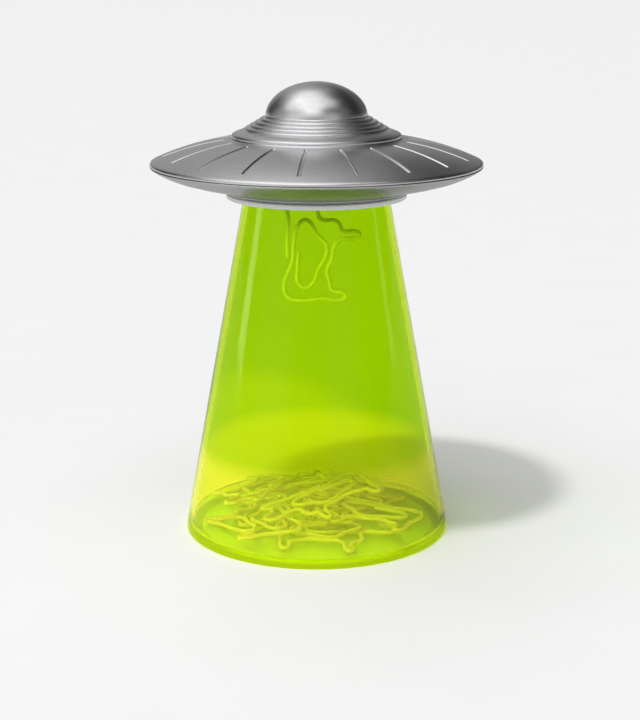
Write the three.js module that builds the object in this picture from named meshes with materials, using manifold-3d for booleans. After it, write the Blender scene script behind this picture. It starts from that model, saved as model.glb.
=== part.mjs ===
// A magnetic holder for paper clips: a saucer-shaped lid with a magnet stands on a clear tapered column.
// One clip hangs from the magnet and a pile of clips lies on the column's floor.
// Millimetres, +Z up. The origin is the middle of the base, on the surface that it stands on.
// The front is -Y.

import * as THREE from 'three';
import { mergeVertices } from 'three/addons/utils/BufferGeometryUtils.js';
import Module from 'manifold-3d';

// Clearances
const GAP = 0.3; // between pieces that touch on the real object
const MOUTH_CLEARANCE = 0.4; // between the column's mouth and the skirt inside it
const COLLAR_CLEARANCE = 0.35; // between the column and the collar ring round it
const SCREW_CLEARANCE = 0.3; // round a screw's head and shank

// The clear column and its floor
const BASE_RADIUS = 42;
const BASE_EDGE = 2.8; // height of the floor's outer edge, where the column's wall stands
const BASE_CHAMFER = 0.7;
const FLOOR_HEIGHT = 2.2; // inside the wall, so that the edge stands round it
const FOOT_WIDTH = 4.4;
const FOOT_RECESS = 0.6;
const MOUTH_RADIUS = 21.8;
const MOUTH_HEIGHT = 110.2;
const COLUMN_WALL = 1.8;
const LIP_ROUND = 0.4;

// The saucer's lower shell. Heights are above the ledge that rests on the column's mouth.
const SHELL_WALL = 1.8;
const RIM_RADIUS = 50.9;
const PARTING_HEIGHT = 5.5;
const RIM_LAND = 2.2; // width of the flat faces that meet at the rim
const EDGE_ROUND = 0.3; // on the rim's and the magnet's edges
const NECK_RADIUS = 28.2;
const NECK_DEPTH = 2.65;
const NECK_DRAFT = 0.3;
const STEP_RADIUS = 30.2; // the step between the neck and the belly
const STEP_HEIGHT = 1.6;
const BELLY_EDGE_RADIUS = 35.6; // a faint edge where the flat underside turns up
const BELLY_EDGE_HEIGHT = -0.25;
const BELLY_RISE_WIDTH = 6.9; // the steep outer part of the belly, from its bend to the rim
const BELLY_BEND_HEIGHT = 1.85;
const BELLY_SWELL = 0.3; // how far the belly bulges between its bend and the rim
const SKIRT_WALL = 1.9;
const SKIRT_DEPTH = 2.9;

// The saucer's upper shell
const CROWN_RADIUS = 80; // the grooved disc is a shallow dome of this radius
const CROWN_TOP_HEIGHT = 13.85; // height that the crown would reach over its own centre
const CROWN_CENTRE_RADIUS = 17.4; // the crown's centre circle lies this far from the axis
const DISC_INNER_RADIUS = 27;
const RIM_SLOPE_WIDTH = 1.9; // the steeper edge between the disc and the rim
const DOME_RADIUS = 15.65;
const DOME_RISE = 10.75;
const DOME_FOOT_HEIGHT = 19.8;
const BEAD_COUNT = 5; // fine rings that step down from the dome
const BEAD_ROUND = 0.89;
const BEAD_WIDTH = 1.55;
const BEAD_DROP = 0.93;
const FIRST_BEAD_INSET = 0.68; // the first bead's centre lies this far inside the dome's foot
const FIRST_BEAD_RISE = 0.09; // and this far above it
const BEAD_END_ANGLE = 110; // where a bead meets the next one in, in degrees from level
const FIRST_BEAD_END_ANGLE = 44; // where the first bead meets the dome
const SLOPE_TOP_RADIUS = 23.05; // the plain slope between the beads and the nose
const SLOPE_TOP_HEIGHT = 16;
const SLOPE_ANGLE = 24; // degrees that it falls
const NOSE_ROUND = 0.95; // the rounded edge at the foot of the slope
const NOSE_CENTRE_RADIUS = 25;
const NOSE_CENTRE_HEIGHT = 14.22;
const NOSE_END_ANGLE = -15; // where the nose meets the flare, in degrees from level
const FLARE_RADIUS = 26.15; // the middle of the hollow flare between the nose and the disc
const FLARE_RISE = 0.25; // its height above the crown

// The grooves engraved in the disc
const GROOVE_COUNT = 18;
const GROOVE_TURN = -6; // degrees from the front to the nearest groove
const GROOVE_HALF_WIDTH = 0.55;
const GROOVE_SINK = 0.1; // the groove's centre line lies this far above the disc's face
const GROOVE_INNER_MARGIN = 1.3; // from the flare to the groove's end
const GROOVE_OUTER_MARGIN = 2.4; // from the disc's outer edge to the groove's end
const GROOVE_SIDES = 4;
const GROOVE_STEPS = 2;

// The collar ring and the screws that it covers
const COLLAR_RADIUS = 27.75;
const COLLAR_HEIGHT = 1.6;
const COLLAR_ROUND = 0.4;
const SCREW_COUNT = 3;
const SCREW_HEAD_RADIUS = 1.7;
const SCREW_HEAD_HEIGHT = 1.2;
const SCREW_SHANK_RADIUS = 0.9;
const SCREW_LENGTH = 8.5;
const SCREW_WEB = 1.85; // plastic between the screw's head and the boss
const PEG_HEIGHT = 1;
const BOSS_RADIUS = 2.7;
const PILOT_SPARE = 0.8; // depth left in the boss beyond the screw's tip
const CUT_PAST = 1; // how far a cutter reaches past the face that it opens

// The magnet
const MAGNET_RADIUS = 13;
const MAGNET_HEIGHT = 4;
const MAGNET_FACE = 1.2; // plastic between the magnet and the clips
const POCKET_WALL = 1.4;
const POCKET_DEPTH = 3.3;
const CAP_WALL = 1.2;
const CAP_SKIRT = 3.3;

// The bent-wire clips
const WIRE = 1.3;
const WIRE_SIDES = 5;
const PILE_COUNT = 11;
const PILE_RADIUS = 8; // the clips are dropped this far from the middle of the floor
const FIRST_SHIFT = 3; // first try when a clip slides to a lower place, in millimetres
const FIRST_TIP = 0.1; // first try when it tips, in radians
const SETTLE_ROUNDS = 40;
const LEAST_GAIN = 1e-6; // a smaller drop than this doesn't count

// Facets: three to a groove, which lies in the middle one
const ROUND_STEPS = 3 * GROOVE_COUNT;
const MAGNET_STEPS = 24;
const SMALL_STEPS = 10;

// The centre line of a clip's wire: a cow seen from the side, head up, legs to the right, in one unbroken
// wire from the end on its back, round the outline and into the loop that grips the paper.
// Across, then up from the clip's lowest point. The axis of the column is at 0 across.
const CLIP_LINE = [
  [-9.0, 13.2], [-9.1, 19.0], [-8.8, 26.0], [-9.8, 32.2],
  [-9.0, 34.1], [-6.4, 32.0], [-4.1, 32.7],
  [-2.6, 35.5], [-0.8, 36.4], [1.3, 34.9], [1.3, 31.2], [0.4, 28.4],
  [1.2, 25.7], [5.9, 25.1], [7.1, 24.0], [7.8, 22.1],
  [12.4, 21.7], [13.3, 20.8], [12.4, 19.8], [7.4, 19.3], [5.6, 17.4],
  [4.8, 13.4], [3.3, 9.6], [4.0, 6.0], [4.8, 3.3],
  [8.3, 2.4], [9.1, 1.4], [8.1, 0.3], [2.0, 0.6], [-5.0, 0.0], [-8.8, 0.9],
  [-10.2, 3.8], [-9.2, 8.4], [-7.6, 12.2], [-7.1, 18.4],
  [-6.0, 23.2], [-3.5, 25.4], [-1.4, 23.8], [0.0, 20.9],
  [3.1, 17.2], [2.6, 13.4], [0.7, 10.2], [-1.4, 5.3], [-3.6, 4.1],
  [-5.8, 5.8], [-6.0, 10.0], [-5.5, 15.5],
];

// Sizes that follow from the ones above
const TAPER = (BASE_RADIUS - MOUTH_RADIUS) / MOUTH_HEIGHT;
const DISC_OUTER_RADIUS = RIM_RADIUS - RIM_SLOPE_WIDTH;
const BELLY_BEND_RADIUS = RIM_RADIUS - BELLY_RISE_WIDTH;
const SAUCER_HEIGHT = MOUTH_HEIGHT + GAP;
const COLLAR_TOP = -NECK_DEPTH - GAP;
const COLLAR_BOTTOM = COLLAR_TOP - COLLAR_HEIGHT;
const COLLAR_BORE = columnRadius(SAUCER_HEIGHT + COLLAR_BOTTOM) + COLLAR_CLEARANCE;
const NECK_BORE = COLLAR_BORE + GAP;
const SKIRT_RADIUS = columnRadius(MOUTH_HEIGHT) - COLUMN_WALL - MOUTH_CLEARANCE;
const SCREW_CIRCLE = (NECK_BORE + NECK_RADIUS) / 2;
const SCREW_SEAT = SHELL_WALL - SCREW_WEB;
const POCKET_RADIUS = MAGNET_RADIUS + GAP;
const FACET_TURN = GROOVE_TURN + 180 / ROUND_STEPS;

function columnRadius(height) {
  return BASE_RADIUS - TAPER * height;
}

function crownHeight(radius, thickness = 0) {
  const run = radius - CROWN_CENTRE_RADIUS;
  const reach = CROWN_RADIUS - thickness;
  return CROWN_TOP_HEIGHT - CROWN_RADIUS + Math.sqrt(reach * reach - run * run);
}

// Points on an arc, or on a stretch of an ellipse, from one angle to another in degrees.
function arc(centre, radii, from, to, steps) {
  const points = [];
  for (let i = 0; i <= steps; i++) {
    const angle = THREE.MathUtils.degToRad(from + ((to - from) * i) / steps);
    points.push([centre[0] + radii[0] * Math.cos(angle), centre[1] + radii[1] * Math.sin(angle)]);
  }
  return points;
}

function onCircle(radius, degrees, height) {
  const angle = THREE.MathUtils.degToRad(degrees);
  return new THREE.Vector3(radius * Math.cos(angle), radius * Math.sin(angle), height);
}

// A round section with the given number of corners.
function round(radius, corners) {
  const points = arc([0, 0], [radius, radius], 0, 360, corners).slice(0, corners);
  return new THREE.Shape(points.map(([across, up]) => new THREE.Vector2(across, up)));
}

// Turns a half section of [radius, height] pairs about the upright axis.
function turned(section, steps = ROUND_STEPS) {
  const points = section.map(([radius, height]) => new THREE.Vector2(Math.max(radius, 0), height));
  const geometry = new THREE.LatheGeometry(points, steps, THREE.MathUtils.degToRad(FACET_TURN));
  return geometry.rotateX(Math.PI / 2);
}

function ring(section, steps) {
  return turned([...section, section[0]], steps);
}

function post(radius, bottom, top, place) {
  const geometry = new THREE.CylinderGeometry(radius, radius, top - bottom, SMALL_STEPS);
  geometry.rotateX(Math.PI / 2);
  return geometry.translate(place.x, place.y, (top + bottom) / 2);
}

// Booleans: a geometry becomes a solid once its shared corners are merged.
const wasm = await Module();
wasm.setup();

function closed(geometry) {
  const bare = geometry.clone();
  bare.deleteAttribute('normal');
  bare.deleteAttribute('uv');
  const merged = mergeVertices(bare);
  const corners = merged.index.array;
  const kept = [];
  for (let i = 0; i < corners.length; i += 3) {
    const [a, b, c] = [corners[i], corners[i + 1], corners[i + 2]];
    if (a !== b && b !== c && c !== a) {
      kept.push(a, b, c);
    }
  }
  merged.setIndex(kept);
  return merged;
}

function toSolid(geometry) {
  const merged = closed(geometry);
  return new wasm.Manifold(new wasm.Mesh({
    numProp: 3,
    vertProperties: new Float32Array(merged.attributes.position.array),
    triVerts: new Uint32Array(merged.index.array),
  }));
}

function toGeometry(solid) {
  const mesh = solid.getMesh();
  const geometry = new THREE.BufferGeometry();
  geometry.setAttribute('position', new THREE.BufferAttribute(new Float32Array(mesh.vertProperties), 3));
  geometry.setIndex(new THREE.BufferAttribute(new Uint32Array(mesh.triVerts), 1));
  geometry.computeVertexNormals();
  return geometry;
}

// Finishes
function finish(color, roughness, metalness = 0, opacity = 1) {
  return new THREE.MeshStandardMaterial({ color, roughness, metalness, opacity, transparent: opacity < 1 });
}

const clearGreen = () => finish(0xa9d10f, 0.12, 0, 0.6);
const satinSilver = () => finish(0x8e8e90, 0.38, 0.85);
const paleGrey = () => finish(0xb6b9b2, 0.45, 0.4);
const whiteCoat = () => finish(0xf2f2ef, 0.35);

function piece(name, geometry, material) {
  const mesh = new THREE.Mesh(geometry, material);
  mesh.name = name;
  return mesh;
}

// The floor: a shallow tray with a foot rim below. The column's wall stands on its edge.
function baseDisc() {
  const edge = columnRadius(BASE_EDGE) - COLUMN_WALL;
  const foot = BASE_RADIUS - BASE_CHAMFER;
  return turned([
    [0, FOOT_RECESS],
    [foot - FOOT_WIDTH, FOOT_RECESS],
    [foot - FOOT_WIDTH, 0],
    [foot, 0],
    [columnRadius(BASE_CHAMFER), BASE_CHAMFER],
    [columnRadius(BASE_EDGE), BASE_EDGE],
    [edge, BASE_EDGE],
    [edge, FLOOR_HEIGHT],
    [0, FLOOR_HEIGHT],
  ]);
}

function column() {
  const bottom = BASE_EDGE + GAP;
  const top = MOUTH_HEIGHT;
  return ring([
    [columnRadius(bottom), bottom],
    [columnRadius(top - LIP_ROUND), top - LIP_ROUND],
    [columnRadius(top) - LIP_ROUND, top],
    [columnRadius(top) - COLUMN_WALL + LIP_ROUND, top],
    [columnRadius(top - LIP_ROUND) - COLUMN_WALL, top - LIP_ROUND],
    [columnRadius(bottom) - COLUMN_WALL, bottom],
  ]);
}

// Places on the screw circle, the first at the back.
function screwPlaces() {
  const places = [];
  for (let i = 0; i < SCREW_COUNT; i++) {
    places.push(onCircle(SCREW_CIRCLE, 90 + (360 * i) / SCREW_COUNT, 0));
  }
  return places;
}

function lowerShell() {
  const step = STEP_HEIGHT / 2;
  const swell = [
    (BELLY_BEND_RADIUS + RIM_RADIUS) / 2 + BELLY_SWELL,
    (BELLY_BEND_HEIGHT + PARTING_HEIGHT) / 2 - BELLY_SWELL,
  ];
  const section = [
    [0, 0],
    [SKIRT_RADIUS - SKIRT_WALL, 0],
    [SKIRT_RADIUS - SKIRT_WALL, -SKIRT_DEPTH],
    [SKIRT_RADIUS - LIP_ROUND, -SKIRT_DEPTH],
    [SKIRT_RADIUS, -SKIRT_DEPTH + LIP_ROUND],
    [SKIRT_RADIUS, 0],
    [NECK_BORE, 0],
    [NECK_BORE, -NECK_DEPTH],
    [NECK_RADIUS, -NECK_DEPTH],
    [NECK_RADIUS + NECK_DRAFT, -NECK_DEPTH + step],
    [STEP_RADIUS - step, -NECK_DEPTH + step],
    [STEP_RADIUS, -NECK_DEPTH + STEP_HEIGHT],
    [BELLY_EDGE_RADIUS, BELLY_EDGE_HEIGHT],
    [BELLY_BEND_RADIUS, BELLY_BEND_HEIGHT],
    swell,
    [RIM_RADIUS, PARTING_HEIGHT - EDGE_ROUND],
    [RIM_RADIUS - EDGE_ROUND, PARTING_HEIGHT],
    [RIM_RADIUS - EDGE_ROUND - RIM_LAND, PARTING_HEIGHT],
    [BELLY_BEND_RADIUS, BELLY_BEND_HEIGHT + SHELL_WALL],
    [BELLY_EDGE_RADIUS, SHELL_WALL],
    [POCKET_RADIUS + POCKET_WALL, SHELL_WALL],
    [POCKET_RADIUS + POCKET_WALL, MAGNET_FACE + POCKET_DEPTH],
    [POCKET_RADIUS, MAGNET_FACE + POCKET_DEPTH],
    [POCKET_RADIUS, MAGNET_FACE],
    [0, MAGNET_FACE],
  ];
  let solid = toSolid(turned(section));
  for (const place of screwPlaces()) {
    const well = post(SCREW_HEAD_RADIUS + SCREW_CLEARANCE, -NECK_DEPTH - CUT_PAST, SCREW_SEAT, place);
    const holeTop = SHELL_WALL + CUT_PAST;
    const hole = post(SCREW_SHANK_RADIUS + SCREW_CLEARANCE, SCREW_SEAT - CUT_PAST, holeTop, place);
    solid = solid.subtract(toSolid(well)).subtract(toSolid(hole));
  }
  return toGeometry(solid);
}

// The middle of a bead's section, counted from the dome outward.
function beadCentre(index) {
  return [
    DOME_RADIUS - FIRST_BEAD_INSET + BEAD_WIDTH * index,
    DOME_FOOT_HEIGHT + FIRST_BEAD_RISE - BEAD_DROP * index,
  ];
}

// The disc's face, the flare, the nose, the slope, the beads and the dome, from the rim up to the axis.
function upperOutline() {
  const rimFoot = PARTING_HEIGHT + GAP;
  const outline = [
    [RIM_RADIUS - EDGE_ROUND, rimFoot],
    [RIM_RADIUS, rimFoot + EDGE_ROUND],
    [(RIM_RADIUS + DISC_OUTER_RADIUS) / 2 + EDGE_ROUND, crownHeight(DISC_OUTER_RADIUS) - EDGE_ROUND],
  ];
  const discSteps = 3;
  for (let i = 0; i <= discSteps; i++) {
    const radius = THREE.MathUtils.lerp(DISC_OUTER_RADIUS, DISC_INNER_RADIUS, i / discSteps);
    outline.push([radius, crownHeight(radius)]);
  }
  outline.push([FLARE_RADIUS, crownHeight(FLARE_RADIUS) + FLARE_RISE]);
  const nose = [NOSE_CENTRE_RADIUS, NOSE_CENTRE_HEIGHT];
  outline.push(...arc(nose, [NOSE_ROUND, NOSE_ROUND], NOSE_END_ANGLE, 90 - SLOPE_ANGLE, 2));
  outline.push([SLOPE_TOP_RADIUS, SLOPE_TOP_HEIGHT]);
  for (let i = BEAD_COUNT - 1; i >= 0; i--) {
    const end = i === 0 ? FIRST_BEAD_END_ANGLE : BEAD_END_ANGLE;
    outline.push(...arc(beadCentre(i), [BEAD_ROUND, BEAD_ROUND], 0, end, 2));
  }
  outline.push(...arc([0, DOME_FOOT_HEIGHT], [DOME_RADIUS, DOME_RISE], 6, 90, 6));
  return outline;
}

function upperInside() {
  const inside = arc([0, DOME_FOOT_HEIGHT], [DOME_RADIUS - SHELL_WALL, DOME_RISE - SHELL_WALL], 90, 0, 4);
  const lastBead = beadCentre(BEAD_COUNT - 1);
  inside.push([lastBead[0] - SHELL_WALL / 2, lastBead[1] - SHELL_WALL / 2]);
  const discSteps = 2;
  const inner = NOSE_CENTRE_RADIUS - SHELL_WALL / 2;
  const outer = RIM_RADIUS - EDGE_ROUND - RIM_LAND;
  for (let i = 0; i <= discSteps; i++) {
    const radius = THREE.MathUtils.lerp(inner, outer, i / discSteps);
    inside.push([radius, Math.max(crownHeight(radius, SHELL_WALL), PARTING_HEIGHT + GAP)]);
  }
  return inside;
}

// A round-ended rod that follows the disc's face outward, at 0 degrees.
function grooveCutter() {
  const ends = [DISC_INNER_RADIUS + GROOVE_INNER_MARGIN, DISC_OUTER_RADIUS - GROOVE_OUTER_MARGIN];
  const line = [];
  for (let i = 0; i <= GROOVE_STEPS; i++) {
    const radius = THREE.MathUtils.lerp(ends[0], ends[1], i / GROOVE_STEPS);
    line.push(new THREE.Vector3(radius, 0, crownHeight(radius) + GROOVE_SINK));
  }
  const path = new THREE.CatmullRomCurve3(line);
  const rod = new THREE.ExtrudeGeometry(round(GROOVE_HALF_WIDTH, GROOVE_SIDES), {
    steps: GROOVE_STEPS,
    extrudePath: path,
    bevelEnabled: false,
  });
  let cutter = toSolid(rod);
  for (const end of [line[0], line[GROOVE_STEPS]]) {
    const tip = new THREE.SphereGeometry(GROOVE_HALF_WIDTH, GROOVE_SIDES, 2).translate(end.x, end.y, end.z);
    cutter = cutter.add(toSolid(tip));
  }
  return cutter;
}

function upperShell() {
  let solid = toSolid(turned([...upperInside(), ...upperOutline()]));
  const bossFoot = SHELL_WALL + GAP;
  const pilotTop = SCREW_SEAT - GAP + SCREW_LENGTH + PILOT_SPARE;
  for (const place of screwPlaces()) {
    const boss = post(BOSS_RADIUS, bossFoot, crownHeight(SCREW_CIRCLE) - SHELL_WALL / 2, place);
    const pilot = post(SCREW_SHANK_RADIUS + SCREW_CLEARANCE, bossFoot - CUT_PAST, pilotTop, place);
    solid = solid.add(toSolid(boss)).subtract(toSolid(pilot));
  }
  const cutter = grooveCutter();
  for (let i = 0; i < GROOVE_COUNT; i++) {
    const degrees = GROOVE_TURN - 90 + (360 * i) / GROOVE_COUNT;
    solid = solid.subtract(cutter.rotate([0, 0, degrees]));
  }
  return toGeometry(solid);
}

// The collar ring, with pegs that plug the screw wells.
function collarRing() {
  let solid = toSolid(ring([
    [COLLAR_BORE, COLLAR_BOTTOM],
    [COLLAR_RADIUS - COLLAR_ROUND, COLLAR_BOTTOM],
    [COLLAR_RADIUS, COLLAR_BOTTOM + COLLAR_ROUND],
    [COLLAR_RADIUS, COLLAR_TOP],
    [COLLAR_BORE, COLLAR_TOP],
  ]));
  for (const place of screwPlaces()) {
    const peg = post(SCREW_HEAD_RADIUS, COLLAR_TOP - COLLAR_HEIGHT / 2, COLLAR_TOP + PEG_HEIGHT, place);
    solid = solid.add(toSolid(peg));
  }
  return toGeometry(solid);
}

function caseScrew(place) {
  const seat = SCREW_SEAT - GAP;
  const dome = SCREW_HEAD_HEIGHT / 3;
  const tip = seat + SCREW_LENGTH;
  const section = [
    [0, seat - SCREW_HEAD_HEIGHT],
    [SCREW_HEAD_RADIUS - dome, seat - SCREW_HEAD_HEIGHT],
    [SCREW_HEAD_RADIUS, seat - SCREW_HEAD_HEIGHT + dome],
    [SCREW_HEAD_RADIUS, seat],
    [SCREW_SHANK_RADIUS, seat],
    [SCREW_SHANK_RADIUS, tip - SCREW_SHANK_RADIUS],
    [0, tip],
  ];
  return turned(section, SMALL_STEPS).translate(place.x, place.y, 0);
}

function magnet() {
  const bottom = MAGNET_FACE + GAP;
  return turned([
    [0, bottom],
    [MAGNET_RADIUS - EDGE_ROUND, bottom],
    [MAGNET_RADIUS, bottom + EDGE_ROUND],
    [MAGNET_RADIUS, bottom + MAGNET_HEIGHT - EDGE_ROUND],
    [MAGNET_RADIUS - EDGE_ROUND, bottom + MAGNET_HEIGHT],
    [0, bottom + MAGNET_HEIGHT],
  ], MAGNET_STEPS);
}

function magnetCap() {
  const bottom = MAGNET_FACE + MAGNET_HEIGHT + 2 * GAP;
  const bore = POCKET_RADIUS + POCKET_WALL + GAP;
  return turned([
    [0, bottom],
    [bore, bottom],
    [bore, bottom - CAP_SKIRT],
    [bore + CAP_WALL, bottom - CAP_SKIRT],
    [bore + CAP_WALL, bottom + CAP_WALL],
    [0, bottom + CAP_WALL],
  ], MAGNET_STEPS);
}

// A clip's wire stands in the X-Z plane. It steps from one named point of its line to the next.
function clipGeometry() {
  const points = CLIP_LINE.map(([across, up]) => new THREE.Vector3(across, 0, up));
  const path = new THREE.CatmullRomCurve3(points, false, 'centripetal');
  path.getPointAt = path.getPoint;
  path.getTangentAt = path.getTangent;
  return new THREE.ExtrudeGeometry(round(WIRE / 2, WIRE_SIDES), {
    steps: points.length - 1,
    extrudePath: path,
    bevelEnabled: false,
  });
}

// The pile. Each clip is dropped flat, then shifted and tipped a little at a time to wherever it lies lowest.
const CELL = 0.25; // grid of the pile's height map
const GRID = Math.ceil((2 * BASE_RADIUS) / CELL);
const REACH = WIRE + GAP; // least distance between the centre lines of two wires
const SPACING = 0.5; // between the points that stand for a wire

function wirePoints() {
  const points = [];
  for (let i = 1; i < CLIP_LINE.length; i++) {
    const from = new THREE.Vector3(CLIP_LINE[i - 1][0], 0, CLIP_LINE[i - 1][1]);
    const to = new THREE.Vector3(CLIP_LINE[i][0], 0, CLIP_LINE[i][1]);
    const steps = Math.ceil(from.distanceTo(to) / SPACING);
    for (let k = 0; k < steps; k++) {
      points.push(from.clone().lerp(to, k / steps));
    }
  }
  return points;
}

function cell(value) {
  return Math.round((value + BASE_RADIUS) / CELL);
}

// Turns a clip into its lie: flat, face up or down, tipped about two axes, then turned.
function lie({ flipped, turn, tipX, tipY }) {
  const flat = new THREE.Quaternion().setFromAxisAngle(new THREE.Vector3(1, 0, 0), -Math.PI / 2);
  const over = new THREE.Quaternion().setFromAxisAngle(new THREE.Vector3(1, 0, 0), flipped ? Math.PI : 0);
  const about = new THREE.Quaternion().setFromAxisAngle(new THREE.Vector3(0, 0, 1), turn);
  const tip = new THREE.Quaternion().setFromEuler(new THREE.Euler(tipX, tipY, 0));
  return tip.multiply(about).multiply(over).multiply(flat);
}

// The height at which a clip in this lie comes to rest, or none if it would meet the column's wall.
function rest(lying, wire, middle, heights) {
  const turning = lie(lying);
  const points = wire.map((point) => point.clone().sub(middle).applyQuaternion(turning));
  let lift = -Infinity;
  for (const point of points) {
    point.x += lying.x;
    point.y += lying.y;
    lift = Math.max(lift, heights[cell(point.x) * GRID + cell(point.y)] - point.z);
  }
  const room = COLUMN_WALL + WIRE / 2 + GAP;
  for (const point of points) {
    point.z += lift;
    if (!(Math.hypot(point.x, point.y) < columnRadius(point.z) - room)) {
      return null;
    }
  }
  return { lift, points };
}

function settle(start, wire, middle, heights) {
  let best = { ...start };
  let bestRest = rest(best, wire, middle, heights);
  const steps = { x: FIRST_SHIFT, y: FIRST_SHIFT, tipX: FIRST_TIP, tipY: FIRST_TIP };
  for (let i = 0; i < SETTLE_ROUNDS; i++) {
    let moved = false;
    for (const key of Object.keys(steps)) {
      for (const sign of [-1, 1]) {
        const tried = { ...best, [key]: best[key] + sign * steps[key] };
        const triedRest = rest(tried, wire, middle, heights);
        if (triedRest && (!bestRest || triedRest.lift < bestRest.lift - LEAST_GAIN)) {
          best = tried;
          bestRest = triedRest;
          moved = true;
        }
      }
    }
    if (!moved) {
      for (const key of Object.keys(steps)) {
        steps[key] /= 2;
      }
    }
  }
  return { lying: best, ...bestRest };
}

function raise(heights, points) {
  const span = Math.ceil(REACH / CELL);
  for (const point of points) {
    const [column, row] = [cell(point.x), cell(point.y)];
    for (let i = column - span; i <= column + span; i++) {
      for (let j = row - span; j <= row + span; j++) {
        const across = i * CELL - BASE_RADIUS - point.x;
        const along = j * CELL - BASE_RADIUS - point.y;
        const left = REACH * REACH - across * across - along * along;
        if (left > 0) {
          heights[i * GRID + j] = Math.max(heights[i * GRID + j], point.z + Math.sqrt(left));
        }
      }
    }
  }
}

function pile() {
  const group = new THREE.Group();
  const wire = wirePoints();
  const middle = new THREE.Box3().setFromPoints(wire).getCenter(new THREE.Vector3());
  const heights = new Float64Array(GRID * GRID).fill(FLOOR_HEIGHT + GAP + WIRE / 2);
  const goldenAngle = Math.PI * (3 - Math.sqrt(5));
  for (let i = 0; i < PILE_COUNT; i++) {
    const start = {
      x: PILE_RADIUS * Math.cos(i * goldenAngle),
      y: PILE_RADIUS * Math.sin(i * goldenAngle),
      turn: i * goldenAngle,
      flipped: i % 3 === 1,
      tipX: 0,
      tipY: 0,
    };
    const { lying, lift, points } = settle(start, wire, middle, heights);
    raise(heights, points);
    const mesh = piece(`pile_clip_${i + 1}`, clipGeometry(), whiteCoat());
    mesh.quaternion.copy(lie(lying));
    const offset = middle.clone().applyQuaternion(mesh.quaternion);
    mesh.position.set(lying.x - offset.x, lying.y - offset.y, lift - offset.z);
    group.add(mesh);
  }
  return group;
}

function hangingClip() {
  const top = Math.max(...CLIP_LINE.map(([, up]) => up));
  const mesh = piece('hanging_clip', clipGeometry(), whiteCoat());
  mesh.position.z = -GAP - WIRE / 2 - top;
  return mesh;
}

// The saucer, built on the ledge that rests on the column's mouth
function saucer() {
  const group = new THREE.Group();
  group.position.z = SAUCER_HEIGHT;
  group.add(piece('saucer_upper_shell', upperShell(), satinSilver()));
  group.add(piece('saucer_lower_shell', lowerShell(), satinSilver()));
  group.add(piece('collar_ring', collarRing(), paleGrey()));
  group.add(piece('magnet', magnet(), finish(0x9a9a9c, 0.3, 1)));
  group.add(piece('magnet_cap', magnetCap(), finish(0x2e2f31, 0.6)));
  screwPlaces().forEach((place, i) => {
    group.add(piece(`case_screw_${i + 1}`, caseScrew(place), finish(0x77787a, 0.35, 1)));
  });
  group.add(hangingClip());
  return group;
}

const holder = new THREE.Group();
holder.add(piece('base_disc', baseDisc(), clearGreen()));
holder.add(piece('beam_column', column(), clearGreen()));
holder.add(pile());
holder.add(saucer());

export default holder;
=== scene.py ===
# %% [markdown]
# # A saucer-topped holder for paper clips
# The CAD model gives every piece its place and size. This script dresses it: finer surfaces where the CAD
# facets would show, a finish for each material, soft studio light and a camera at the photograph's angle.

# %% Load the frame
import math

import bmesh
import bpy
from mathutils import Matrix, Vector


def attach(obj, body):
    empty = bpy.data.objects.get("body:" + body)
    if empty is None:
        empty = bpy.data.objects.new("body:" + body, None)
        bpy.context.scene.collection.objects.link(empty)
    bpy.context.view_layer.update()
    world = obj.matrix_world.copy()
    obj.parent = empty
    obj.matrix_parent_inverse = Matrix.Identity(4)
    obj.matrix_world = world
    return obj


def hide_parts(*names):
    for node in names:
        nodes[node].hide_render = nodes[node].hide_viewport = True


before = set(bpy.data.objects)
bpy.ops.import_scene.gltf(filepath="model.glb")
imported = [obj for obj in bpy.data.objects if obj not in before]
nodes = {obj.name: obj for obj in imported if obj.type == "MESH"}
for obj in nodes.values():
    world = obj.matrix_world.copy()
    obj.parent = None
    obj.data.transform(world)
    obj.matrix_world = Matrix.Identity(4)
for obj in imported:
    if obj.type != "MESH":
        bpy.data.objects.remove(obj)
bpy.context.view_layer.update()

# %% [markdown]
# ## Sizes
# The finer pieces repeat the sizes of the CAD solids that they stand for, in millimetres. The saucer's
# heights count from the ledge that rests on the column's mouth.

# %% Sizes shared by the pieces
MM = 0.001
ROUND_STEPS = 144
BASE_RADIUS, MOUTH_RADIUS, MOUTH_HEIGHT = 42, 21.8, 110.2
BASE_EDGE, FLOOR_HEIGHT, COLUMN_WALL = 2.8, 2.2, 1.8
GAP, SEAM = 0.3, 0.14
LEDGE_HEIGHT = MOUTH_HEIGHT + GAP
TAPER = (BASE_RADIUS - MOUTH_RADIUS) / MOUTH_HEIGHT


def column_radius(height):
    return BASE_RADIUS - TAPER * height


print("The column narrows by", round(TAPER, 4), "mm for each mm of height")

# %% [markdown]
# ## Camera
# A camera was fitted to the photograph: it stands about half a metre in front of the column, 18 cm above the
# table, and looks 14.3 degrees down through a long lens. A millimetre to the right puts the axis where the
# photograph has it.

# %% Camera
CAMERA_TILT = math.radians(14.292)
camera = bpy.data.objects.new("camera", bpy.data.cameras.new("camera"))
bpy.context.scene.collection.objects.link(camera)
camera.location = (1.04 * MM, -493.88 * MM, 179.92 * MM)
camera.rotation_euler = (math.pi / 2 - CAMERA_TILT, 0, 0)
camera.data.sensor_width = 36
camera.data.lens = 1614.8 * camera.data.sensor_width / 720
camera.data.clip_end = 50
bpy.context.scene.camera = camera
print("Lens:", round(camera.data.lens, 2), "mm")

# %% [markdown]
# ## Shader maths
# A pattern is a formula of coordinates and noise. With a small class that knows its node tree, the formula
# can be written as ordinary Python, and each sign in it becomes one Math node.


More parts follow.
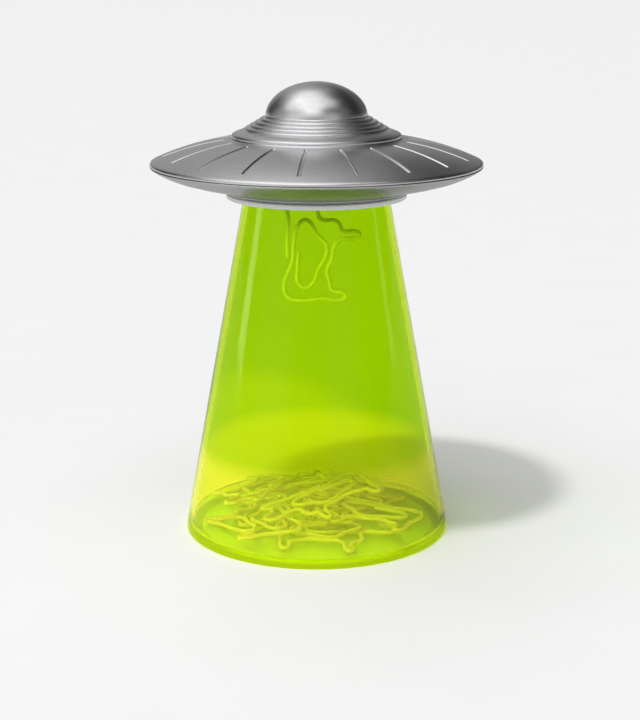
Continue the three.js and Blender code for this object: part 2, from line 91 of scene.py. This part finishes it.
# %% A socket that can be calculated with
class Signal:
    def __init__(self, recipe, socket):
        self.recipe, self.socket = recipe, socket

    def maths(self, operation, *values):
        return self.recipe.node("ShaderNodeMath", {"operation": operation}, dict(enumerate(values)))

    def __add__(self, other):
        return self.maths("ADD", self, other)

    def __sub__(self, other):
        return self.maths("SUBTRACT", self, other)

    def __rsub__(self, other):
        return self.maths("SUBTRACT", other, self)

    def __mul__(self, other):
        return self.maths("MULTIPLY", self, other)

    def dot(self, other):
        settings = {"operation": "DOT_PRODUCT"}
        return self.recipe.node("ShaderNodeVectorMath", settings, {0: self, 1: other}, output="Value")

    __radd__ = __add__
    __rmul__ = __mul__


# %% One method that makes every node
class Recipe:
    def __init__(self, tree):
        self.tree = tree

    def node(self, kind, settings=None, values=None, output=0):
        made = self.tree.nodes.new(kind)
        for name, value in (settings or {}).items():
            if name == "stops":
                for stop, (place, shade) in zip(made.color_ramp.elements, value):
                    stop.position, stop.color = place, (shade, shade, shade, 1)
            else:
                setattr(made, name, value)
        for name, value in (values or {}).items():
            self.join(value, made.inputs[name])
        return Signal(self, made.outputs[output])

    def join(self, value, socket):
        if isinstance(value, Signal):
            self.tree.links.new(value.socket, socket)
        else:
            socket.default_value = value

    def noise(self, scale, detail=2, stretch=(1, 1, 1)):
        place = self.node("ShaderNodeTexCoord", output="Object")
        turned = self.node("ShaderNodeMapping", None, {"Vector": place, "Scale": stretch})
        return self.node("ShaderNodeTexNoise", None, {"Vector": turned, "Scale": scale, "Detail": detail})

    def blend(self, share, one, other):
        settings = {"data_type": "RGBA"}
        return self.node("ShaderNodeMix", settings, {0: share, 6: one, 7: other}, output=2)

    def between(self, value, low, high, new_low=0, new_high=1):
        values = {"Value": value, 1: low, 2: high, 3: new_low, 4: new_high}
        return self.node("ShaderNodeMapRange", None, values)

    def bump(self, height, depth):
        return self.node("ShaderNodeBump", None, {"Strength": 1, "Distance": depth, "Height": height})


def colour(red, green, blue):
    """A colour as an image editor shows it, from 0 to 255, in the linear values that shaders take."""
    parts = [value / 255 for value in (red, green, blue)]
    return (*[p / 12.92 if p < 0.04045 else ((p + 0.055) / 1.055) ** 2.4 for p in parts], 1)


# %% A finish is a material with one Principled shader
class Finish(Recipe):
    def __init__(self, name, **values):
        self.material = bpy.data.materials.new(name)
        self.material.use_nodes = True
        super().__init__(self.material.node_tree)
        self.shader = self.tree.nodes["Principled BSDF"]
        for socket, value in values.items():
            self.give(socket.replace("_", " "), value)
        print("Finish:", name)

    def give(self, socket, value):
        self.join(value, self.shader.inputs[socket])


# %% [markdown]
# ## Clear green plastic
# The column and its floor are moulded in a see-through yellow-green. Most light goes through, tinted by each
# wall that it crosses, and a small share is scattered in the plastic, which makes the lit parts glow. Faint
# streaks run up the wall, as moulding leaves them. The tint is made a little lighter near the foot, as it looks
# in the photograph: that is painted light, a bright band painted into the colour. Light from the lamps is let
# through by a Transparent shader, because lamps reach nothing behind real glass in a path tracer except by
# chance.


# %% Clear green finish
def clear_plastic(name, deep, light, transmission, lamp_tint):
    made = Finish(name, IOR=1.05, Transmission_Weight=transmission, Coat_Weight=0.12, Coat_Roughness=0.09)
    streaks = made.noise(60, 3, (6, 6, 0.15))
    place = made.node("ShaderNodeTexCoord", output="Object")
    height = made.node("ShaderNodeSeparateXYZ", None, {0: place}, output="Z")
    # Painted light: the tint turns lighter from 3 cm of height down to 2.4 cm. This paints a bright band on the lower
    # column, and the streaks shift it a little.
    painted_band_and_streaks = made.between(height, 0.0295, 0.0235) + 0.1 * (streaks - 0.5)
    made.give("Base Color", made.blend(painted_band_and_streaks, deep, light))
    made.give("Roughness", made.between(streaks, 0.3, 0.7, 0.04, 0.09))
    made.give("Normal", made.bump(streaks, 0.00002))
    lamp_ray = made.node("ShaderNodeLightPath", output="Is Shadow Ray")
    film = made.node("ShaderNodeBsdfTransparent", None, {"Color": lamp_tint})
    glass = Signal(made, made.shader.outputs[0])
    surface = made.node("ShaderNodeMixShader", None, {0: lamp_ray, 1: glass, 2: film})
    made.join(surface, made.tree.nodes["Material Output"].inputs["Surface"])
    return made


# For the column, the second colour is the painted light of the bright band near its foot.
green = clear_plastic("clear_green", (0.6, 0.81, 0.015, 1), (0.94, 0.98, 0.16, 1), 0.955,
                      (0.88, 0.96, 0.5, 1))
floor_green = clear_plastic("floor_green", (0.6, 0.77, 0.005, 1), (0.63, 0.79, 0.01, 1), 0.72,
                            (0.6, 0.8, 0.1, 1))

# %% [markdown]
# Light that such a disc takes in travels inside it and leaves at the rim. Here that light is painted: the disc is
# given emission, a faint painted glow all over and a brighter one at the rim, so the rim shines more than the rest.

# %% Painted glow of the floor, brightest at its edge
place = floor_green.node("ShaderNodeTexCoord", output="Object")
flat = floor_green.node("ShaderNodeVectorMath", {"operation": "MULTIPLY"}, {0: place, 1: (1, 1, 0)})
reach = floor_green.node("ShaderNodeVectorMath", {"operation": "LENGTH"}, {0: flat}, output="Value")
painted_rim_glow = floor_green.between(reach, 0.0408, 0.0414)
# Painted glow: emission that no lamp drives, faint green over the disc and brighter green at the rim.
floor_green.give("Emission Color", floor_green.blend(painted_rim_glow, (0.01, 0.022, 0, 1), (0.19, 0.2, 0, 1)))
floor_green.give("Emission Strength", 1)
print("The rim's glow starts 40.8 mm from the axis")

# %% [markdown]
# ## Silver paint
# The saucer is plastic under satin metallic paint. Fine flakes lie in the paint, so the grey is speckled at
# about a third of a millimetre, and the roughness drifts a little from place to place. The underside has the same
# paint in a darker colour, which is painted shade for the shade under the saucer, and it blurs the green column below
# it.


# %% Silver finishes
def silver(name, dark, light, roughness, flake_depth, **values):
    made = Finish(name, Metallic=1, **values)
    flakes = made.noise(3200, 1)
    clouds = made.noise(45, 4)
    speckle = made.between(flakes, 0.35, 0.65)
    made.give("Base Color", made.blend(speckle, dark, light))
    made.give("Roughness", roughness + 0.06 * (clouds - 0.5) + 0.06 * (flakes - 0.5))
    made.give("Normal", made.bump(flakes, flake_depth))
    return made


grey_edge = (0.65, 0.65, 0.65, 1)
satin_silver = silver("satin_silver", colour(197, 197, 199), colour(215, 215, 216), 0.31, 0.000003)
# Painted shade: the underside is the saucer's paint in a darker colour.
silver_painted_shade = silver("silver_painted_shade", colour(172, 172, 174), colour(186, 186, 187), 0.36, 0.000002,
                       Specular_Tint=grey_edge)

# %% [markdown]
# ## The other finishes
# The collar ring is a paler grey than the saucer, with a faint green cast that is painted light, for the green
# that the column throws on it. The clips are steel wire in a white plastic coat that is a little glossy and
# slightly uneven. The magnet, its cap and the screws are hidden in the case.

# %% Plain finishes with a little life
def moulded(name, base, worn, roughness, grain, depth, **values):
    made = Finish(name, **values)
    uneven = made.noise(grain, 3)
    made.give("Base Color", made.blend(made.between(uneven, 0.3, 0.7), base, worn))
    made.give("Roughness", roughness + 0.12 * (uneven - 0.5))
    made.give("Normal", made.bump(uneven, depth))
    return made


# Painted light: the collar's grey leans a little to green, for light from the green column.
pale_grey = moulded("pale_grey", colour(206, 208, 204), colour(216, 218, 214), 0.4, 900, 0.000008, Metallic=0.3)
white_coat = moulded("white_coat", colour(226, 226, 222), colour(236, 236, 233), 0.32, 500, 0.00001)
nickel = moulded("nickel_plate", colour(176, 174, 168), colour(190, 188, 183), 0.28, 400, 0.000005, Metallic=1)
dark_cap = moulded("dark_cap", colour(46, 47, 49), colour(54, 55, 57), 0.6, 1200, 0.00001)
screw_steel = moulded("screw_steel", colour(140, 141, 143), colour(155, 156, 158), 0.35, 1500, 0.00001, Metallic=1)

# %% [markdown]
# ## Turned pieces
# Everything but the wire is round about the upright axis. A bmesh spin turns a half section into a solid.
# The section is given in millimetres as pairs of radius and height, and arcs are worked out point by point.


# %% Helpers for sections
def arc(centre, radii, start, end, steps):
    points = []
    for i in range(steps + 1):
        angle = math.radians(start + (end - start) * i / steps)
        points.append((centre[0] + radii[0] * math.cos(angle), centre[1] + radii[1] * math.sin(angle)))
    return points


def spin_section(section, base_height, angle, steps, closed, start=0.0):
    shape = bmesh.new()
    turn = Matrix.Rotation(start, 4, "Z")
    corners = [shape.verts.new(turn @ Vector((r * MM, 0, (h + base_height) * MM))) for r, h in section]
    for one, other in zip(corners, corners[1:] + corners[:1] if closed else corners[1:]):
        shape.edges.new((one, other))
    whole = abs(angle - 2 * math.pi) < 1e-6
    bmesh.ops.spin(shape, geom=shape.verts[:] + shape.edges[:], axis=(0, 0, 1), cent=(0, 0, 0),
                   dvec=(0, 0, 0), angle=angle, steps=steps, use_merge=whole, use_duplicate=False)
    bmesh.ops.remove_doubles(shape, verts=shape.verts, dist=1e-6)
    return shape


# %% Helper that turns a bmesh into a dressed piece
def dress(shape, name, finish, body, node, sharp=32):
    bmesh.ops.remove_doubles(shape, verts=shape.verts, dist=1e-6)
    bmesh.ops.dissolve_degenerate(shape, edges=shape.edges, dist=1e-7)
    bmesh.ops.recalc_face_normals(shape, faces=shape.faces)
    for face in shape.faces:
        face.smooth = True
    for edge in shape.edges:
        edge.smooth = edge.calc_face_angle(0) < math.radians(sharp)
    mesh = bpy.data.meshes.new(name)
    shape.to_mesh(mesh)
    shape.free()
    piece = bpy.data.objects.new(name, mesh)
    bpy.context.scene.collection.objects.link(piece)
    mesh.materials.append(finish.material)
    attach(piece, body)
    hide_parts(node)
    print(name, "faces:", len(mesh.polygons))
    return piece


# %% [markdown]
# ## Column
# A straight tapered tube with a thin rounded lip. The wall has to be a closed solid, with an inner and an
# outer face, so that light is bent and tinted as it enters and leaves.

# %% Column
LIP_ROUND = 0.4
foot, top = BASE_EDGE + GAP, MOUTH_HEIGHT
outer_lip = (column_radius(top) - LIP_ROUND, top - LIP_ROUND)
inner_lip = (column_radius(top) - COLUMN_WALL + LIP_ROUND, top - LIP_ROUND)
column_section = [(column_radius(foot), foot)]
column_section += arc(outer_lip, (LIP_ROUND, LIP_ROUND), 0, 90, 4)
column_section += arc(inner_lip, (LIP_ROUND, LIP_ROUND), 90, 180, 4)
column_section += [(column_radius(foot) - COLUMN_WALL, foot)]
column_shape = spin_section(column_section, 0, 2 * math.pi, ROUND_STEPS, True)
beam = dress(column_shape, "beam", green, "base", "beam_column")

# %% [markdown]
# ## Base disc
# A shallow tray with a foot rim. The outer lower edge is rounded, and that round is what shows as the darker
# green band under the bright line of the edge.

# %% Base disc
BASE_CHAMFER, FOOT_WIDTH, FOOT_RECESS = 0.7, 4.4, 0.6
foot_radius = BASE_RADIUS - BASE_CHAMFER
wall_inside = column_radius(BASE_EDGE) - COLUMN_WALL
base_section = [(0, FOOT_RECESS), (foot_radius - FOOT_WIDTH, FOOT_RECESS), (foot_radius - FOOT_WIDTH, 0)]
base_section += arc((foot_radius, BASE_CHAMFER), (BASE_CHAMFER * 0.8, BASE_CHAMFER), -90, 0, 5)
base_section += [(column_radius(BASE_EDGE) - 0.12, BASE_EDGE - 0.15), (column_radius(BASE_EDGE) - 0.3, BASE_EDGE)]
base_section += [(wall_inside, BASE_EDGE), (wall_inside, FLOOR_HEIGHT), (0, FLOOR_HEIGHT)]
base_shape = spin_section(base_section, 0, 2 * math.pi, ROUND_STEPS, False)
dress(base_shape, "base_floor", floor_green, "base", "base_disc")

# %% [markdown]
# ## Lower shell
# A shallow bowl: neck, a small step, a flat belly that turns up to the rim, and inside it the pocket for the
# magnet. The skirt under the ledge drops into the column's mouth and keeps the saucer in the middle.

# %% Lower shell
SHELL_WALL, RIM_RADIUS, PARTING_HEIGHT, RIM_LAND, EDGE_ROUND = 1.8, 50.9, 5.5, 2.2, 0.3
NECK_RADIUS, NECK_DEPTH, STEP_RADIUS = 28.2, 2.65, 30.2
SKIRT_OUTER = column_radius(MOUTH_HEIGHT) - COLUMN_WALL - 0.4
SKIRT_INNER, SKIRT_DEPTH = SKIRT_OUTER - 1.9, 2.9
COLLAR_TOP = -NECK_DEPTH - GAP
COLLAR_BORE = column_radius(LEDGE_HEIGHT + COLLAR_TOP - 1.6) + 0.35
NECK_BORE = COLLAR_BORE + GAP
belly = [(35.6, -0.25), (40, 0.72), (44, 1.85), (46.2, 2.68), (48.2, 3.62), (49.8, 4.5), (50.65, 5.05)]
lower_section = [(0, 0), (SKIRT_INNER, 0), (SKIRT_INNER, -SKIRT_DEPTH), (SKIRT_OUTER - 0.4, -SKIRT_DEPTH)]
lower_section += [(SKIRT_OUTER, -SKIRT_DEPTH + 0.4), (SKIRT_OUTER, 0), (NECK_BORE, 0), (NECK_BORE, COLLAR_TOP + SEAM)]
lower_section += [(NECK_RADIUS - 0.5, COLLAR_TOP + SEAM), (NECK_RADIUS - 0.1, COLLAR_TOP + SEAM + 0.1)]
lower_section += [(STEP_RADIUS - 0.85, -2.02)] + arc((STEP_RADIUS - 0.72, -1.86), (0.16, 0.16), -80, 60, 6)
lower_section += [(STEP_RADIUS + 0.1, -1.3), (STEP_RADIUS + 1, -0.98)] + belly
lower_section += [(RIM_RADIUS, PARTING_HEIGHT - 0.15), (RIM_RADIUS - 0.15, PARTING_HEIGHT)]
lower_section += [(RIM_RADIUS - EDGE_ROUND - RIM_LAND, PARTING_HEIGHT), (44, 1.85 + SHELL_WALL)]
lower_section += [(35.6, SHELL_WALL), (14.7, SHELL_WALL), (14.7, 4.5), (13.3, 4.5), (13.3, 1.2), (0, 1.2)]
lower_shape = spin_section(lower_section, LEDGE_HEIGHT, 2 * math.pi, ROUND_STEPS, False)
dress(lower_shape, "lower_shell", silver_painted_shade, "saucer", "saucer_lower_shell", 24)

# %% [markdown]
# ## Upper shell
# From the rim inward: the grooved disc, a flare, a nose, a plain slope, five beads and the dome. The disc has one
# groove every 20 degrees, so one sector of 20 degrees is made and copied round. On the sector the mesh is
# sliced along the groove with bisect_plane, and the points near its centre line are pushed down.

# %% Section of the upper shell
GROOVE_COUNT, GROOVE_TURN = 18, -6
SECTOR = 2 * math.pi / GROOVE_COUNT
CROWN_RADIUS, CROWN_TOP_HEIGHT, CROWN_CENTRE_RADIUS = 80, 13.85, 17.4
DISC_INNER, DISC_OUTER = 27, 49


def crown_height(radius, thickness=0.0):
    run, reach = radius - CROWN_CENTRE_RADIUS, CROWN_RADIUS - thickness
    return CROWN_TOP_HEIGHT - CROWN_RADIUS + math.sqrt(reach * reach - run * run)


upper = [(48.4, PARTING_HEIGHT + SEAM), (50.75, PARTING_HEIGHT + SEAM), (50.86, PARTING_HEIGHT + SEAM + 0.12)]
upper += [(50.87, 6.02), (50.82, 6.24), (50.71, 6.45), (50.54, 6.64), (50.3, 6.78), (49.7, crown_height(49.7))]
DISC_STEPS = 24
for i in range(DISC_STEPS + 1):
    radius = DISC_OUTER + (DISC_INNER - DISC_OUTER) * i / DISC_STEPS
    upper.append((radius, crown_height(radius)))
upper += [(26.5, crown_height(26.5) + 0.09), (26.15, crown_height(26.15) + 0.24)]
upper += arc((25, 14.22), (0.95, 0.95), -15, 66, 10) + [(23.3, 15.92), (23.0, 15.98)]
for i in range(4, -1, -1):
    upper += arc((14.97 + 1.55 * i, 19.89 - 0.93 * i), (0.89, 0.89), 0, 110 if i else 44, 8)
upper += arc((0, 19.8), (15.65, 10.75), 6, 90, 20)
inside = arc((0, 19.8), (13.85, 8.95), 90, 0, 8) + [(20.27, 15.27)]
for i in range(5):
    radius = 24.1 + (RIM_RADIUS - EDGE_ROUND - RIM_LAND - 24.1) * i / 4
    inside.append((radius, max(crown_height(radius, SHELL_WALL), PARTING_HEIGHT + 0.25)))
print("Section points:", len(upper), "outside,", len(inside), "inside")

# %% One sector with its groove
GROOVE_HALF_WIDTH, GROOVE_DEPTH, GROOVE_ENDS = 0.55, 0.45, (28.3, 46.6)
middle = math.radians(GROOVE_TURN - 90)
sector = spin_section(inside + upper, LEDGE_HEIGHT, SECTOR, 8, False, -SECTOR / 2)


def disc_faces():
    found = []
    for face in sector.faces:
        centre = face.calc_center_median()
        radius = math.hypot(centre.x, centre.y) / MM
        height = centre.z / MM - LEDGE_HEIGHT
        if 27.2 < radius < 48.8 and height > crown_height(radius) - 0.5:
            found.append(face)
    return found


def slice_disc(point, direction):
    faces = disc_faces()
    parts = set(faces)
    for face in faces:
        parts.update(face.edges)
        parts.update(face.verts)
    bmesh.ops.bisect_plane(sector, geom=list(parts), dist=1e-7, plane_co=point, plane_no=direction)


for offset in (-0.62, -0.5, -0.38, -0.2, 0, 0.2, 0.38, 0.5, 0.62):
    slice_disc((0, offset * MM, 0), (0, 1, 0))
for radius in (27.68, 27.9, 28.1, 46.8, 47.0, 47.2):
    slice_disc((radius * MM, 0, 0), (1, 0, 0))
sunk = 0
for face in disc_faces():
    for vert in face.verts:
        x, y = vert.co.x / MM, vert.co.y / MM
        nearest = min(max(x, GROOVE_ENDS[0]), GROOVE_ENDS[1])
        away = math.hypot(x - nearest, y) / GROOVE_HALF_WIDTH
        if away < 1 and not vert.tag:
            vert.co.z -= GROOVE_DEPTH * (1 - away**4) * MM
            vert.tag = True
            sunk += 1
print("Groove points sunk:", sunk)

# %% Copy the sector round
turn = Matrix.Rotation(middle, 4, "Z")
bmesh.ops.transform(sector, matrix=turn, verts=sector.verts)
bmesh.ops.spin(sector, geom=sector.verts[:] + sector.edges[:] + sector.faces[:], axis=(0, 0, 1),
               cent=(0, 0, 0), dvec=(0, 0, 0), angle=SECTOR * (GROOVE_COUNT - 1), steps=GROOVE_COUNT - 1,
               use_merge=False, use_duplicate=True)
dress(sector, "upper_shell", satin_silver, "saucer", "saucer_upper_shell", 24)

# %% [markdown]
# ## Collar ring
# A plain pale ring under the neck. Its outer lower edge is rounded, and it covers the wells of the screws.

# %% Collar ring
COLLAR_RADIUS, COLLAR_HEIGHT, COLLAR_ROUND = 27.75, 1.6, 0.4
collar_bottom = COLLAR_TOP - COLLAR_HEIGHT
round_centre = (COLLAR_RADIUS - COLLAR_ROUND, collar_bottom + COLLAR_ROUND)
collar_section = [(COLLAR_BORE, collar_bottom)] + arc(round_centre, (COLLAR_ROUND, COLLAR_ROUND), -90, 0, 5)
collar_section += [(COLLAR_RADIUS, COLLAR_TOP - 0.35), (COLLAR_RADIUS - 0.35, COLLAR_TOP)]
collar_section += [(COLLAR_BORE, COLLAR_TOP)]
collar_shape = spin_section(collar_section, LEDGE_HEIGHT, 2 * math.pi, ROUND_STEPS, True)
dress(collar_shape, "collar", pale_grey, "saucer", "collar_ring")

# %% [markdown]
# ## Clips
# A CAD clip is a five-sided tube with straight stretches. Its rings of five corners are found from one end to
# the other, and the middle of each ring is a point of the wire's centre line. A Bezier curve with automatic
# handles goes smoothly through those points, so the bends are round and every clip lies just where the CAD has
# it. A bevel depth gives the curve the wire's thickness, and the mesh made from it gets rounded ends.

# %% Centre line of a CAD clip
WIRE, WIRE_SIDES = 1.3, 5


def centre_line(node):
    tube = bmesh.new()
    tube.from_mesh(nodes[node].data)
    bmesh.ops.remove_doubles(tube, verts=tube.verts, dist=1e-6)
    bmesh.ops.dissolve_limit(tube, angle_limit=math.radians(0.05), verts=tube.verts, edges=tube.edges)
    cap = next(face for face in tube.faces if len(face.verts) == WIRE_SIDES)
    ring, seen, line = set(cap.verts), set(), []
    while ring:
        line.append(sum((vert.co for vert in ring), Vector()) / len(ring))
        seen |= ring
        ring = {edge.other_vert(vert) for vert in ring for edge in vert.link_edges} - seen
    tube.free()
    return line


# %% A smooth wire along a centre line
def smooth_wire(node, body):
    line = centre_line(node)
    curve = bpy.data.curves.new(node + "_line", "CURVE")
    curve.dimensions, curve.resolution_u = "3D", 5
    curve.bevel_depth, curve.bevel_resolution, curve.use_fill_caps = WIRE / 2 * MM, 3, True
    spline = curve.splines.new("BEZIER")
    spline.bezier_points.add(len(line) - 1)
    for point, place in zip(spline.bezier_points, line):
        point.co = place
        point.handle_left_type = point.handle_right_type = "AUTO"
    guide = bpy.data.objects.new(node + "_line", curve)
    bpy.context.scene.collection.objects.link(guide)
    shape = bmesh.new()
    shape.from_mesh(guide.to_mesh())
    bpy.data.objects.remove(guide)
    bpy.data.curves.remove(curve)
    bmesh.ops.remove_doubles(shape, verts=shape.verts, dist=1e-6)
    ends = [edge for face in shape.faces if len(face.verts) > 4 for edge in face.edges]
    bmesh.ops.bevel(shape, geom=ends, offset=0.3 * MM, segments=3, profile=0.5, affect="EDGES", material=-1)
    return dress(shape, node + "_wire", white_coat, body, node, 180)


wires = [smooth_wire(name, "base") for name in sorted(nodes) if name.startswith("pile_clip")]
wires.append(smooth_wire("hanging_clip", "hanging_clip"))

# %% [markdown]
# ## Pieces that stay as the CAD made them
# The magnet, its cap and the screws are sealed in the case, so their CAD solids only need a finish.

# %% Finish of the inner pieces
inner_finishes = {"magnet": nickel, "magnet_cap": dark_cap}
inner_finishes.update({name: screw_steel for name in nodes if name.startswith("case_screw")})
for name, finish in inner_finishes.items():
    nodes[name].data.materials.clear()
    nodes[name].data.materials.append(finish.material)
print("Inner pieces:", sorted(inner_finishes))

# %% [markdown]
# ## Studio
# The photograph has an even, pale ground. The main light comes from above, in front and to the left, and throws
# the saucer's soft shadow back and to the right. Metal paint shows its surroundings, so the saucer's greys come
# from round softboxes in the world, each given by azimuth, elevation, reach and strength.

# %% Floor
floor_finish = Finish("pale_floor", Roughness=0.75)
floor_grain = floor_finish.noise(30, 2)
floor_finish.give("Base Color", floor_finish.blend(floor_grain, colour(240, 240, 241), colour(244, 244, 244)))
floor_shape = bmesh.new()
bmesh.ops.create_grid(floor_shape, x_segments=1, y_segments=1, size=20)
floor_mesh = bpy.data.meshes.new("floor")
floor_shape.to_mesh(floor_mesh)
floor_mesh.materials.append(floor_finish.material)
floor = bpy.data.objects.new("floor", floor_mesh)
bpy.context.scene.collection.objects.link(floor)

# %% Strengths of the studio light
WALL_LEFT, WALL_RIGHT = 0.02, 0.01
SUN_ENERGY, GLOW_ENERGY = 1.26, 13
PILE_LIGHT_ENERGY, CLIP_LIGHT_ENERGY = 0.5, 2.6
ROUND_BOXES = [(-130, 12, 30, 0.95), (-90, 12, 30, 0.34), (-10, 12, 30, 0.39), (30, 12, 30, 0.12),
               (150, 12, 30, 0.56), (-168, 32, 30, 0.89), (120, 32, 30, 0.15), (-165, 54, 30, 1.07),
               (-105, 54, 30, 1.27), (-45, 54, 30, 0.2), (-15, 54, 30, 0.36), (-45, 74, 28, 1.03),
               (135, 74, 28, 1.01)]
STRIP_BOXES = [("left_strip", -83, 0.6, 55), ("right_strip", 82, 0.4, 12)]

# %% World: dim walls, darkest on the right
world = bpy.data.worlds.new("studio")
world.use_nodes = True
bpy.context.scene.world = world
sky = Recipe(world.node_tree)
direction = sky.node("ShaderNodeTexCoord", output="Generated")
across = sky.node("ShaderNodeSeparateXYZ", None, {0: direction}, output="X")
brightness = sky.between(across, -0.7, 0.6, WALL_LEFT, WALL_RIGHT)


# %% Softboxes, as bright round patches of the world
def heading(azimuth, elevation):
    """A direction, from the azimuth counted from the back (+Y) towards the right (+X)."""
    turn, rise = math.radians(azimuth), math.radians(elevation)
    return (math.sin(turn) * math.cos(rise), math.cos(turn) * math.cos(rise), math.sin(rise))


def round_box(azimuth, elevation, reach, strength):
    closeness = direction.dot(heading(azimuth, elevation))
    edge, full = math.cos(math.radians(reach)), math.cos(math.radians(5))
    glow = {"Value": closeness, 1: edge, 2: full}
    return strength * sky.node("ShaderNodeMapRange", {"interpolation_type": "SMOOTHSTEP"}, glow)


for box in ROUND_BOXES:
    brightness = brightness + round_box(*box)
sky.join(brightness, world.node_tree.nodes["Background"].inputs["Color"])
print("Softboxes:", len(ROUND_BOXES))

# %% Main lamp
sun = bpy.data.objects.new("main_light", bpy.data.lights.new("main_light", "SUN"))
bpy.context.scene.collection.objects.link(sun)
sun.rotation_euler = Vector((-0.3, -0.37, 1)).to_track_quat("Z", "Y").to_euler()
sun.data.energy, sun.data.angle = SUN_ENERGY, math.radians(6)
sun.visible_glossy = False

# %% [markdown]
# ## Lamps for single pieces
# Clear neon plastic is fluorescent: where a lamp shines on it, it glows more than it could by scattering alone.
# A path tracer has no such effect. A second lamp stands in for it, linked to the column alone, and the
# saucer's shadow leaves the upper column dark. Two more lamps light the pile, with light as the green wall
# leaves it, and the hanging clip. Two tall strips draw the stripes down the sides of the column.

# %% Lamps that are linked to some pieces only
def linked_lamp(name, kind, place, energy, pieces):
    lamp = bpy.data.objects.new(name, bpy.data.lights.new(name, kind))
    bpy.context.scene.collection.objects.link(lamp)
    lamp.location = place
    lamp.rotation_euler = Vector(place).to_track_quat("Z", "Y").to_euler()
    lamp.data.energy = energy
    lamp.visible_transmission = False
    receivers = bpy.data.collections.new(name + "_pieces")
    for piece in pieces:
        receivers.objects.link(piece)
    lamp.light_linking.receiver_collection = receivers
    print("Linked lamp:", name, "on", len(pieces))
    return lamp


def linked_sun(name, place, energy, shade, degrees, pieces):
    lamp = linked_lamp(name, "SUN", place, energy, pieces)
    lamp.data.color, lamp.data.angle = shade, math.radians(degrees)
    lamp.visible_glossy = False


def linked_strip(name, azimuth, width, energy):
    away = Vector(heading(azimuth, 0)) * 3
    lamp = linked_lamp(name, "AREA", away, energy, [beam])
    lamp.location.z = 1.02
    lamp.data.shape, lamp.data.size, lamp.data.size_y = "RECTANGLE", width, 2
    lamp.data.color = (1, 1, 0.5)
    lamp.visible_diffuse = False


linked_sun("glow", (-0.16, -0.295, 1), GLOW_ENERGY, (1, 0.7, 0.3), 2, [beam])
linked_sun("pile_light", (-0.3, -0.37, 1), PILE_LIGHT_ENERGY, (0.5, 0.9, 0.4), 8, wires[:-1])
linked_sun("clip_light", (-0.5, -1, 0.45), CLIP_LIGHT_ENERGY, (1, 1, 1), 8, wires[-1:])
for box in STRIP_BOXES:
    linked_strip(*box)

# %% Colour is shown as it is
bpy.context.scene.view_settings.view_transform = "Standard"
